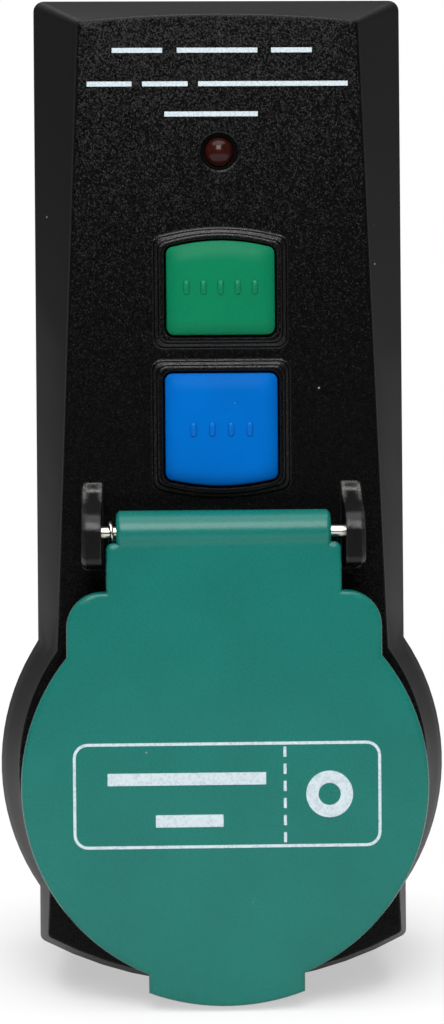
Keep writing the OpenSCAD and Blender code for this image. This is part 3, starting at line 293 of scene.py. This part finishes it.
def plastic(name, color, roughness, grain=0.00025, relief=0.00001, mottle=0.12, patch=0.006, edge=0.0002,
            dome=0.0, specular=0.5, specks=0.0, coat=0.0):
    """Moulded plastic: slow changes of colour, paler soft edges, fine grain in relief and gloss, dust."""
    material, tree, shader, coords = new_material(name)
    normal, turned = soft_edges(tree, edge)
    if dome:
        normal = soft_edges(tree, dome)[0]
    fine = noise(tree, coords, grain)
    slow = ranged(tree, noise(tree, coords, patch, 3.0), 0.3, 0.7, 0.0, 1.0)
    base = mix_color(tree, slow, shade(color, 1 - mottle), shade(color, 1 + mottle))
    base = mix_color(tree, product(tree, turned, fine), base, shade(color, EDGE_GAIN))
    if specks:
        base = mix_color(tree, dust(tree, coords, 0.0016, specks), base, (0.45, 0.45, 0.42, 1.0))
    gloss = ranged(tree, fine, 0.2, 0.8, roughness - 0.05, roughness + 0.05)
    connect(tree, shader, Base_Color=base, Roughness=gloss, Normal=bump(tree, fine, relief, 0.6, normal))
    settle(shader, Specular_IOR_Level=specular, Coat_Weight=coat, Coat_Roughness=0.2)
    return material


def metal(name, color, roughness, along=(1.0, 0.06, 1.0), line=0.00012):
    """Drawn or rolled metal: fine lines along one direction, uneven gloss, and brighter edges."""
    material, tree, shader, coords = new_material(name)
    normal, turned = soft_edges(tree, 0.0001)
    lines = noise(tree, coords, line, 2.0, along)
    base = mix_color(tree, noise(tree, coords, 0.003), shade(color, 0.8), shade(color, 1.1))
    base = mix_color(tree, turned, base, shade(color, 1.2))
    gloss = ranged(tree, lines, 0.2, 0.8, roughness * 0.7, roughness * 1.3)
    connect(tree, shader, Base_Color=base, Roughness=gloss, Normal=bump(tree, lines, 0.000006, 0.5, normal))
    settle(shader, Metallic=1.0)
    return material


def flakes(tree, coords, normal, share):
    """A spark-eroded grain: facets that tilt their own ways where share is 1, and a random level for each."""
    cells = node(tree, "ShaderNodeTexVoronoi", {"Vector": coords, "Scale": 1 / FLAKE_CELL}).outputs["Color"]
    centred = vector_math(tree, "SUBTRACT", cells, (0.5, 0.5, 0.5))[0]
    reach = ranged(tree, share, 0.0, 1.0, 0.0, FLAKE_TILT)
    tilt = node(tree, "ShaderNodeVectorMath", {0: centred, "Scale": reach}, operation="SCALE").outputs[0]
    facets = vector_math(tree, "NORMALIZE", vector_math(tree, "ADD", normal, tilt)[0])[0]
    return facets, node(tree, "ShaderNodeSeparateColor", {"Color": cells}).outputs[0]


def ear_tips(tree, across, depth, height):
    """Mask of the tips of the hinge ears, where they stand proud of the panel and where the shell gets a
    painted highlight.
    """
    aside = step(tree, math_node(tree, "ABSOLUTE", across), *EAR_SIDE)
    above = step(tree, height, *EAR_TIP_LOW)
    below = step(tree, height, *EAR_TIP_HIGH)
    proud = step(tree, depth, *EAR_FRONT)
    return product(tree, aside, above, below, proud)


def grained_shell(name):
    """Front shell: a spark-eroded grain on panel and frames, smooth satin on the bevels, ear tips painted
    pale as a painted highlight.
    """
    material, tree, shader, coords = new_material(name)
    across, depth, height = node(tree, "ShaderNodeSeparateXYZ", {0: coords}).outputs
    tip = ear_tips(tree, across, depth, height)
    normal, turned = soft_edges(tree, ranged(tree, tip, 0.0, 1.0, SHELL_EDGE, EAR_TIP_EDGE))
    front = step(tree, depth, *PANEL_FRONT)
    flat = step(tree, depth, *FRAME_FRONT)
    panel = product(tree, front, flat)
    grained = product(tree, front, ranged(tree, flat, 0.0, 1.0, 0.4, 1.0))
    facets, level = flakes(tree, coords, normal, grained)
    fine = noise(tree, coords, 0.0001, 1.0)
    slow = noise(tree, coords, 0.012)
    satin = mix_color(tree, slow, (0.0035, 0.0034, 0.0033, 1.0), (0.0055, 0.0053, 0.0051, 1.0))
    grain = mix_color(tree, ranged(tree, level, 0.3, 1.0, 0.0, 1.0), (0.0014, 0.0014, 0.0014, 1.0),
                      (0.0036, 0.0034, 0.0036, 1.0))
    base = mix_color(tree, panel, satin, grain)
    base = mix_color(tree, product(tree, turned, slow), base, (0.020, 0.020, 0.019, 1.0))
    # Painted highlight: the edges of the ear tips, most on their brighter flakes, are painted a pale grey
    # where light catches them.
    painted_tip_highlight = product(tree, tip, turned, ranged(tree, level, 0.2, 0.9, 0.3, 1.0))
    base = mix_color(tree, painted_tip_highlight, base, (0.28, 0.28, 0.26, 1.0))
    base = mix_color(tree, dust(tree, coords, 0.0024, 0.05), base, (0.30, 0.30, 0.29, 1.0))
    polish = math_node(tree, "MAXIMUM", ranged(tree, panel, 0.0, 1.0, 0.26, 0.08), turned)
    connect(tree, shader, Base_Color=base, Roughness=ranged(tree, front, 0.0, 1.0, 0.5, 0.26),
            Specular_IOR_Level=polish, Normal=bump(tree, fine, 0.000005, 0.5, facets))
    return material


def lamp_lens(name):
    """Dark red clear lamp: a glossy skin over cloudy depth."""
    material, tree, shader, coords = new_material(name)
    core = noise(tree, coords, 0.0012)
    base = mix_color(tree, core, (0.010, 0.0018, 0.0015, 1.0), (0.040, 0.007, 0.005, 1.0))
    connect(tree, shader, Base_Color=base, Roughness=ranged(tree, core, 0.3, 0.7, 0.12, 0.2))
    settle(shader, Specular_IOR_Level=0.2)
    return material


def circuit_green(name):
    """Solder resist over a net of copper tracks."""
    material, tree, shader, coords = new_material(name)
    inputs = {"Vector": coords, "Scale": 260.0, "Mortar Size": 0.09, "Color1": (0.02, 0.11, 0.035, 1.0),
              "Color2": (0.025, 0.13, 0.04, 1.0), "Mortar": (0.05, 0.24, 0.07, 1.0)}
    tracks = node(tree, "ShaderNodeTexBrick", inputs)
    raised = node(tree, "ShaderNodeBump", {"Height": tracks.outputs["Fac"], "Distance": 0.00003}).outputs[0]
    connect(tree, shader, Base_Color=tracks.outputs["Color"], Normal=raised)
    settle(shader, Roughness=0.3)
    return material


def wound_wire(name, color):
    """Close layers of enamelled wire: rows of round turns along the coil's axis, with painted shade in the
    grooves between turns.
    """
    material, tree, shader, coords = new_material(name)
    rows = node(tree, "ShaderNodeTexWave", {"Vector": coords, "Scale": 900.0, "Distortion": 0.6},
                bands_direction="Y").outputs["Fac"]
    raised = node(tree, "ShaderNodeBump", {"Height": rows, "Distance": 0.00012}).outputs[0]
    # Painted shade: the colour darkens in the grooves between turns and pales along each turn.
    base = mix_color(tree, rows, shade(color, 0.45), shade(color, 1.2))
    connect(tree, shader, Base_Color=base, Normal=raised)
    settle(shader, Metallic=0.7, Roughness=0.35)
    return material


def pale_print(name):
    """Pad-printed ink: pale, thin in places, with a slightly uneven face."""
    material, tree, shader, coords = new_material(name)
    thin = noise(tree, coords, 0.0003, 3.0)
    base = mix_color(tree, ranged(tree, thin, 0.35, 0.55, 0.0, 1.0), (0.40, 0.48, 0.52, 1.0),
                     (0.53, 0.61, 0.65, 1.0))
    raised = node(tree, "ShaderNodeBump", {"Height": thin, "Distance": 0.00001}).outputs[0]
    connect(tree, shader, Base_Color=base, Roughness=ranged(tree, thin, 0.3, 0.7, 0.4, 0.55), Normal=raised)
    return material


def button_plastic(name, color, specular, dome=0.0):
    """Glossy button plastic; a dome rounds the shading over a button's whole front."""
    return plastic(name, color, 0.26, mottle=0.05, edge=0.0003, dome=dome, relief=0.000005, specular=specular,
                   specks=0.018)


def make_materials():
    """One material for each slot of the record, and more for the buttons' ribs and the printed marks."""
    return {
        "front_shell": grained_shell("front_shell"),
        "rear_shell": plastic("rear_shell", (0.0070, 0.0069, 0.0067), 0.42, relief=0.00003, specks=0.02),
        "well_plastic": plastic("well_plastic", (0.0070, 0.0070, 0.0070), 0.4, specks=0.01),
        "seal_rubber": plastic("seal_rubber", (0.014, 0.014, 0.014), 0.7, grain=0.0004, relief=0.00003,
                               specks=0.03),
        "screw_steel": metal("screw_steel", (0.50, 0.50, 0.48), 0.32),
        "contact_brass": metal("contact_brass", (0.62, 0.44, 0.16), 0.26),
        "strip_steel": metal("strip_steel", (0.60, 0.59, 0.55), 0.28),
        "pin_nickel": metal("pin_nickel", (0.66, 0.64, 0.60), 0.2),
        "hinge_steel": metal("hinge_steel", (0.66, 0.63, 0.56), 0.24, along=(0.06, 1.0, 1.0)),
        "spring_steel": metal("spring_steel", (0.68, 0.65, 0.57), 0.26),
        "flap_green": plastic("flap_green", FLAP_COLOR, 0.28, grain=0.00035, relief=0.000008, mottle=0.05,
                              patch=0.009, edge=0.0004, specular=0.27, specks=0.012),
        "button_green": button_plastic("button_green", RESET_COLOR, 0.08, dome=BUTTON_DOME),
        "button_blue": button_plastic("button_blue", TEST_COLOR, 0.03, dome=BUTTON_DOME),
        "ribs_green": button_plastic("ribs_green", RESET_COLOR, 0.2),
        "ribs_blue": button_plastic("ribs_blue", TEST_COLOR, 0.12),
        "lamp_red": lamp_lens("lamp_red"),
        "inner_plastic": plastic("inner_plastic", (0.030, 0.030, 0.032), 0.5),
        "inner_pale": plastic("inner_pale", (0.62, 0.59, 0.51), 0.5, mottle=0.05),
        "board_green": circuit_green("board_green"),
        "core_iron": metal("core_iron", (0.32, 0.32, 0.33), 0.4),
        "bar_copper": metal("bar_copper", (0.72, 0.33, 0.17), 0.3),
        "winding_copper": wound_wire("winding_copper", (0.55, 0.20, 0.07)),
        "core_blue": plastic("core_blue", (0.030, 0.095, 0.300), 0.35, grain=0.0006, relief=0.00004,
                             mottle=0.2, coat=0.4),
        "capacitor_red": plastic("capacitor_red", (0.380, 0.040, 0.025), 0.3, grain=0.0008, relief=0.00005,
                                 coat=0.4),
        "resistor_tan": plastic("resistor_tan", (0.52, 0.40, 0.21), 0.4, grain=0.0005, relief=0.00003),
        "print": pale_print("print"),
    }


# CAD nodes

def smooth_normals(limit_degrees):
    """Modifier group that shades a node's facets as one smooth face up to a given angle."""
    group = bpy.data.node_groups.new("smooth_normals", "GeometryNodeTree")
    for side in ("INPUT", "OUTPUT"):
        group.interface.new_socket("Geometry", in_out=side, socket_type="NodeSocketGeometry")
    start = node(group, "NodeGroupInput")
    merged = node(group, "GeometryNodeMergeByDistance", {"Geometry": start.outputs[0], "Distance": 1e-6})
    unshaded = {"Geometry": merged.outputs[0], "Name": "custom_normal"}
    plain = node(group, "GeometryNodeRemoveAttribute", unshaded)
    faces = node(group, "GeometryNodeSetShadeSmooth", {"Geometry": plain.outputs[0], "Shade Smooth": True},
                 domain="FACE")
    angle = node(group, "GeometryNodeInputMeshEdgeAngle").outputs["Unsigned Angle"]
    limit = math.radians(limit_degrees)
    sharp = node(group, "FunctionNodeCompare", {0: angle, 1: limit}, operation="GREATER_THAN").outputs[0]
    split = {"Geometry": faces.outputs[0], "Selection": sharp, "Shade Smooth": False}
    edges = node(group, "GeometryNodeSetShadeSmooth", split, domain="EDGE")
    node(group, "NodeGroupOutput", {0: edges.outputs[0]})
    return group


def dress_nodes(materials):
    """Gives every CAD node its slot's material and smooth shading."""
    smooth = smooth_normals(SMOOTH_LIMIT)
    slots = {part["node"]: part["material_slot"] for part in frame["record"]["subparts"]}
    for name, piece in frame["nodes"].items():
        piece.data.materials.clear()
        piece.data.materials.append(materials[slots[name]])
        piece.modifiers.new("smooth_normals", "NODES").node_group = smooth
        piece.modifiers.new("flat_faces", "WEIGHTED_NORMAL").keep_sharp = True


# Small pieces

def add_piece(name, build, material, body=None, smooth=True):
    """A mesh that build fills, in millimetres, and that rides on a body."""
    form = bmesh.new()
    build(form)
    bmesh.ops.scale(form, vec=(MM, MM, MM), verts=form.verts)
    bmesh.ops.recalc_face_normals(form, faces=form.faces)
    for face in form.faces:
        face.smooth = smooth
    mesh = bpy.data.meshes.new(name)
    form.to_mesh(mesh)
    form.free()
    mesh.materials.append(material)
    piece = bpy.data.objects.new(name, mesh)
    bpy.context.scene.collection.objects.link(piece)
    if body:
        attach(piece, body)
    return piece


def skin(form, rings, closed=False):
    """Surface through rings of equal counts: joined end to end, or with a face at each end."""
    count = len(rings[0])
    loops = [[form.verts.new(point) for point in ring] for ring in rings]
    following = loops[1:] + loops[:1] if closed else loops[1:]
    for a, b in zip(loops, following):
        for k in range(count):
            form.faces.new((a[k], a[(k + 1) % count], b[(k + 1) % count], b[k]))
    if not closed:
        form.faces.new(reversed(loops[0]))
        form.faces.new(loops[-1])


def tube(form, path, radius, sides=10):
    """A round wire through a path of points, closed at both ends."""
    points = [Vector(point) for point in path]
    last = len(points) - 1
    across = None
    rings = []
    for i, point in enumerate(points):
        direction = (points[min(i + 1, last)] - points[max(i - 1, 0)]).normalized()
        start = across or (Vector((0, 0, 1)) if abs(direction.y) > 0.7 else Vector((0, 1, 0)))
        across = (start - direction * start.dot(direction)).normalized()
        other = direction.cross(across)
        turns = [2 * math.pi * k / sides for k in range(sides)]
        rings.append([point + radius * (math.cos(t) * across + math.sin(t) * other) for t in turns])
    skin(form, rings)


def hinge_spring_path(lead, leg_end, steps=16, bend_steps=3):
    """A hinge spring's wire, as drawn in the part: leg, lead, coil, bend and tang, about the hinge's axis."""

    def on_coil(x, turns):
        angle = 2 * math.pi * turns
        return (x, SPRING_COIL * math.cos(angle), SPRING_COIL * math.sin(angle))

    end_x = -lead - SPRING_TURNS * SPRING_PITCH
    tang_x = end_x - TANG_TURN
    path = [(0, leg_end, -SPRING_LEG_DROP), (0, leg_end - FOOT_BEND, FOOT_RISE - SPRING_LEG_DROP),
            (0, SPRING_COIL + KNEE_OUT, -KNEE_DROP)]
    if lead:
        path.append((-LEAD_START, SPRING_COIL, -LEAD_DROP))
    path += [on_coil(-lead - SPRING_PITCH * i / steps, i / steps) for i in range(SPRING_TURNS * steps + 1)]
    path += [on_coil(end_x - TANG_TURN * i / bend_steps, i / bend_steps / 4) for i in range(1, bend_steps)]
    return path + [(tang_x, 0, SPRING_COIL), (tang_x - TANG_DEPTH, 0, SPRING_COIL)]


def add_hinge_springs(material):
    """Two torsion springs about the hinge's axis: a leg that bears on the housing and a tang that bears on
    the flap.
    """
    low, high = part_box("hinge_pin")
    axis = (low + high) / 2 / MM
    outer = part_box("flap_springs")[1] / MM
    leg_x = outer.x - SPRING_WIRE
    leg_end = outer.y - axis.y - SPRING_WIRE
    for side, lead in SPRING_LEADS.items():
        sign = 1 if side == "right" else -1
        path = [(sign * (leg_x + x), axis.y + y, axis.z + z) for x, y, z in hinge_spring_path(lead, leg_end)]
        piece = add_piece("hinge_spring_" + side, lambda form: tube(form, path, SPRING_WIRE), material)
        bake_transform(piece)
        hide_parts("flap_springs")


def add_press_springs(material):
    """Copies of the coil springs in spring steel, riding on the housing."""
    for name, (joint, travel) in SPRING_TRAVELS.items():
        piece = bpy.data.objects.new(name.replace("spring", "coil"), frame["nodes"][name].data.copy())
        bpy.context.scene.collection.objects.link(piece)
        piece.data.materials.clear()
        piece.data.materials.append(material)
        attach(piece, "housing")
        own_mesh(piece)
        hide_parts(name)


def rounded_box(x, z, width, height, radius, steps=6):
    """Outline in X and Z of a box with round corners."""
    points = []
    for quarter, (sx, sz) in enumerate([(1, 1), (-1, 1), (-1, -1), (1, -1)]):
        for i in range(steps + 1):
            turn = math.pi / 2 * (quarter + i / steps)
            points.append((x + sx * (width / 2 - radius) + radius * math.cos(turn),
                           z + sz * (height / 2 - radius) + radius * math.sin(turn)))
    return points


def raised_rib(form, x, y, z, steps=4):
    """A low rib with round ends and a domed front, on a face that looks along -Y."""
    rings = []
    for i in range(steps + 1):
        turn = math.pi / 2 * i / steps
        inset = RIB_WIDTH / 2 * (1 - math.cos(turn))
        width = RIB_WIDTH - inset
        outline = rounded_box(x, z, width, RIB_HEIGHT - inset, width * RIB_CORNER_SHARE)
        rings.append([(px, y + RIB_SINK - (RIB_RISE + RIB_SINK) * math.sin(turn), pz) for px, pz in outline])
    skin(form, rings)


def add_button_ribs(materials):
    """A row of low grip ribs across the middle of each button, in its own colour."""
    for body, color in (("reset", "green"), ("test", "blue")):
        low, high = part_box(body + "_button")
        face = low.y / MM
        middle = (low.z + high.z) / 2 / MM
        count, spacing = RIB_ROWS[body]

        def ribs(form):
            for i in range(count):
                raised_rib(form, (i - (count - 1) / 2) * spacing, face, middle)

        add_piece(body + "_grip_ribs", ribs, materials["ribs_" + color], body)


def print_line(form, path, y, width, closed=False):
    """A printed line of even width along a path in X and Z, just proud of a face that looks along -Y."""
    last = len(path) - 1
    rings = []
    for i, (x, z) in enumerate(path):
        before = path[i - 1] if closed or i else path[0]
        after = path[(i + 1) % len(path)] if closed or i < last else path[-1]
        direction = Vector((after[0] - before[0], after[1] - before[1])).normalized()
        dx, dz = -direction.y * width / 2, direction.x * width / 2
        front = y - PRINT_RISE
        rings.append([(x + dx, y, z + dz), (x - dx, y, z - dz),
                      (x - dx, front, z - dz), (x + dx, front, z + dz)])
    skin(form, rings, closed)


def circle(x, z, radius, steps=36):
    """Points of a circle in X and Z."""
    turns = [2 * math.pi * i / steps for i in range(steps)]
    return [(x + radius * math.cos(t), z + radius * math.sin(t)) for t in turns]


def add_flap_print(material):
    """A plain frame on the flap: two bars beside a ring, with a broken line between."""
    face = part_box("flap_lid")[0].y / MM + FLAP_BARREL_PROUD
    x, z = FLAP_FRAME_PLACE
    dash = FLAP_FRAME_HEIGHT / FLAP_DASHES

    def marks(form):
        frame_path = rounded_box(x, z, FLAP_FRAME_WIDTH, FLAP_FRAME_HEIGHT, FLAP_FRAME_CORNER)
        print_line(form, frame_path, face, FLAP_FRAME_LINE, closed=True)
        for i in range(FLAP_DASHES):
            low = z - FLAP_FRAME_HEIGHT / 2 + dash * (i + (1 - FLAP_DASH_SHARE) / 2)
            ends = [(FLAP_DIVIDER_X, low), (FLAP_DIVIDER_X, low + dash * FLAP_DASH_SHARE)]
            print_line(form, ends, face, FLAP_FRAME_LINE)
        for left, right, height in FLAP_BARS:
            print_line(form, [(left, height), (right, height)], face, FLAP_BAR_WIDTH)
        print_line(form, circle(*FLAP_RING_PLACE, FLAP_RING_RADIUS), face, FLAP_BAR_WIDTH, closed=True)

    add_piece("flap_print", marks, material, "flap", smooth=False)


def add_panel_print(material):
    """Plain printed bars above the lamp."""

    def marks(form):
        for left, right, height in PANEL_BARS:
            print_line(form, [(left, height), (right, height)], PANEL_Y, PANEL_BAR_WIDTH)

    add_piece("panel_print", marks, material, "housing", smooth=False)


# Stage

def ray_kinds(tree):
    """Masks of the camera's own rays, and of those that come by way of gloss or glass."""
    path = node(tree, "ShaderNodeLightPath").outputs
    mirrored = math_node(tree, "MAXIMUM", path["Is Glossy Ray"], path["Is Transmission Ray"])
    return path["Is Camera Ray"], mirrored


def add_floor():
    """A white floor that keeps the part's soft shadow and fades into the white background."""
    level = cad_box[0].z - FLOOR_GAP
    corners = [(-1, -1), (1, -1), (1, 1), (-1, 1)]
    mesh = bpy.data.meshes.new("floor")
    mesh.from_pydata([(x * FLOOR_HALF, y * FLOOR_HALF, level) for x, y in corners], [], [(0, 1, 2, 3)])
    floor = bpy.data.objects.new("floor", mesh)
    bpy.context.scene.collection.objects.link(floor)
    material = bpy.data.materials.new("floor")
    material.use_nodes = True
    tree = material.node_tree
    tree.nodes.clear()
    coords = node(tree, "ShaderNodeTexCoord").outputs["Object"]
    foot = (0.0, (cad_box[0].y + cad_box[1].y) / 2 - FOOT_FORWARD, level)
    reach = vector_math(tree, "DISTANCE", coords, foot)["Value"]
    far = ranged(tree, reach, *FLOOR_REACHES, *FLOOR_WHITES)
    direct, mirrored = ray_kinds(tree)
    seen = math_node(tree, "MAXIMUM", direct, product(tree, mirrored, FLOOR_MIRRORED))
    matte = node(tree, "ShaderNodeBsdfDiffuse", {"Color": FLOOR_COLOR})
    white = node(tree, "ShaderNodeEmission", {"Color": WHITE, "Strength": 1.0})
    layers = {0: product(tree, far, seen), 1: matte.outputs[0], 2: white.outputs[0]}
    blended = node(tree, "ShaderNodeMixShader", layers)
    node(tree, "ShaderNodeOutputMaterial", {"Surface": blended.outputs[0]})
    mesh.materials.append(material)


def add_world():
    """White behind and beside the part, with a darker camera side that the black panel mirrors."""
    world = bpy.data.worlds.new("studio")
    bpy.context.scene.world = world
    world.use_nodes = True
    tree = world.node_tree
    tree.nodes.clear()
    toward = node(tree, "ShaderNodeTexCoord").outputs["Generated"]
    back = vector_math(tree, "DOT_PRODUCT", toward, BACK_DIRECTION)["Value"]
    height = node(tree, "ShaderNodeSeparateXYZ", {0: toward}).outputs["Z"]
    level = ranged(tree, back, *BACK_RANGE, *BACK_STRENGTHS)
    backdrop = product(tree, level, ranged(tree, height, *HEIGHT_RANGE, *HEIGHT_SHARES))
    direct, mirrored = ray_kinds(tree)
    fill = node(tree, "ShaderNodeBackground", {"Color": WHITE, "Strength": WORLD_FILL})
    in_gloss = node(tree, "ShaderNodeBackground", {"Color": WHITE, "Strength": backdrop})
    white = node(tree, "ShaderNodeBackground", {"Color": WHITE, "Strength": 1.0})
    light = node(tree, "ShaderNodeMixShader", {0: mirrored, 1: fill.outputs[0], 2: in_gloss.outputs[0]})
    blended = node(tree, "ShaderNodeMixShader", {0: direct, 1: light.outputs[0], 2: white.outputs[0]})
    node(tree, "ShaderNodeOutputWorld", {"Surface": blended.outputs[0]})


def add_light(name, place, size, power):
    """A square soft light that looks at a point of the part."""
    data = bpy.data.lights.new(name, "AREA")
    data.energy = power
    data.size = size
    lamp = bpy.data.objects.new(name, data)
    bpy.context.scene.collection.objects.link(lamp)
    lamp.location = place
    lamp.rotation_euler = (Vector(LIGHT_AIM) - Vector(place)).to_track_quat("-Z", "Y").to_euler()


def add_camera():
    """The photograph's view, with the principal point in the middle of the frame."""
    data = bpy.data.cameras.new("camera")
    data.lens = CAMERA_LENS
    data.sensor_width = 36.0
    data.clip_start = 0.01
    camera = bpy.data.objects.new("camera", data)
    bpy.context.scene.collection.objects.link(camera)
    camera.location = Vector(CAMERA_PLACE) * MM
    look = (Vector(CAMERA_AIM) - Vector(CAMERA_PLACE)).to_track_quat("-Z", "Y")
    camera.rotation_mode = "QUATERNION"
    camera.rotation_quaternion = look @ Quaternion((0, 0, 1), CAMERA_ROLL)
    bpy.context.scene.camera = camera


def main():
    materials = make_materials()
    dress_nodes(materials)
    add_hinge_springs(materials["spring_steel"])
    add_press_springs(materials["spring_steel"])
    add_button_ribs(materials)
    add_flap_print(materials["print"])
    add_panel_print(materials["print"])
    add_floor()
    add_world()
    add_light("key", **KEY_LIGHT)
    add_light("top", **TOP_LIGHT)
    add_camera()
    bpy.context.scene.view_settings.view_transform = "Standard"


main()
